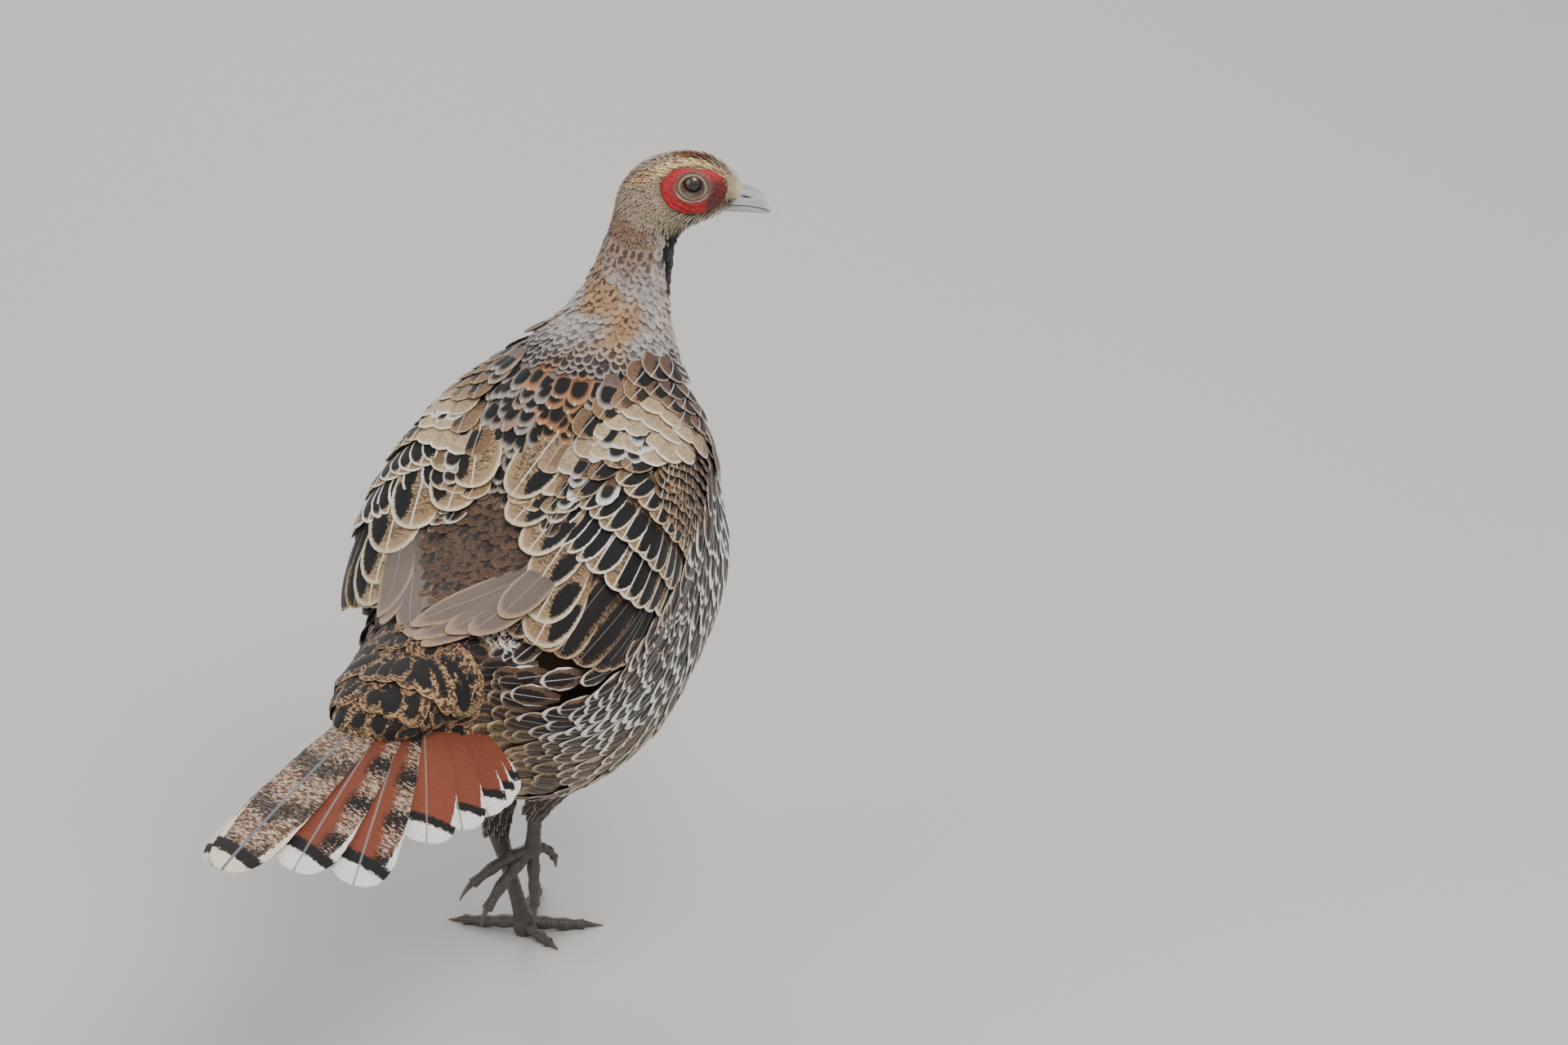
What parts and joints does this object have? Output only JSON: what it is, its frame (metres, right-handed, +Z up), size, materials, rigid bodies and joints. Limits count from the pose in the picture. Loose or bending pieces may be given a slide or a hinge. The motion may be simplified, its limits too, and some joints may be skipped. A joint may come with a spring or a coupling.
{
  "type": "elliots pheasant",
  "caption": "Life-size standing hen pheasant model on one foot, the other raised, tail fanned and head turned to its right",
  "frame": {"origin": "on the floor under the sole of the standing left foot, in line with its shank", "axes": "+Z up; the bird faces -Y; +X is the bird's left"},
  "size_m": [0.151, 0.3802, 0.3892],
  "materials": {
    "body_plumage": "matt feathers, brown with black and buff marks",
    "neck_plumage": "matt pale grey feathers",
    "head_plumage": "matt short buff and chestnut feathers",
    "wing_plumage": "matt to satin flight feathers, brown, buff and black",
    "tail_plumage": "satin chestnut feathers with black bars and white tips",
    "thigh_plumage": "matt dusky feathers",
    "face_skin": "bare red folded skin",
    "eye": "wet gloss, dark brown",
    "bill": "satin pale blue-grey horn",
    "leg_skin": "satin grey-brown scaled skin",
    "claw": "satin brown horn"
  },
  "bodies": {
    "root": {"torso": "body_plumage", "neck": "neck_plumage", "head": "head_plumage", "face_left": "face_skin", "face_right": "face_skin", "eye_left": "eye", "eye_right": "eye", "bill_upper": "bill", "bill_lower": "bill", "wing_left": "wing_plumage", "wing_right": "wing_plumage", "tail": "tail_plumage", "thigh_left": "thigh_plumage", "thigh_right": "thigh_plumage", "tarsus_left": "leg_skin", "tarsus_right": "leg_skin", "foot_left": "leg_skin", "foot_right": "leg_skin", "claw_left_1": "claw", "claw_left_2": "claw", "claw_left_3": "claw", "claw_left_4": "claw", "claw_right_1": "claw", "claw_right_2": "claw", "claw_right_3": "claw", "claw_right_4": "claw"}
  },
  "joints": []
}
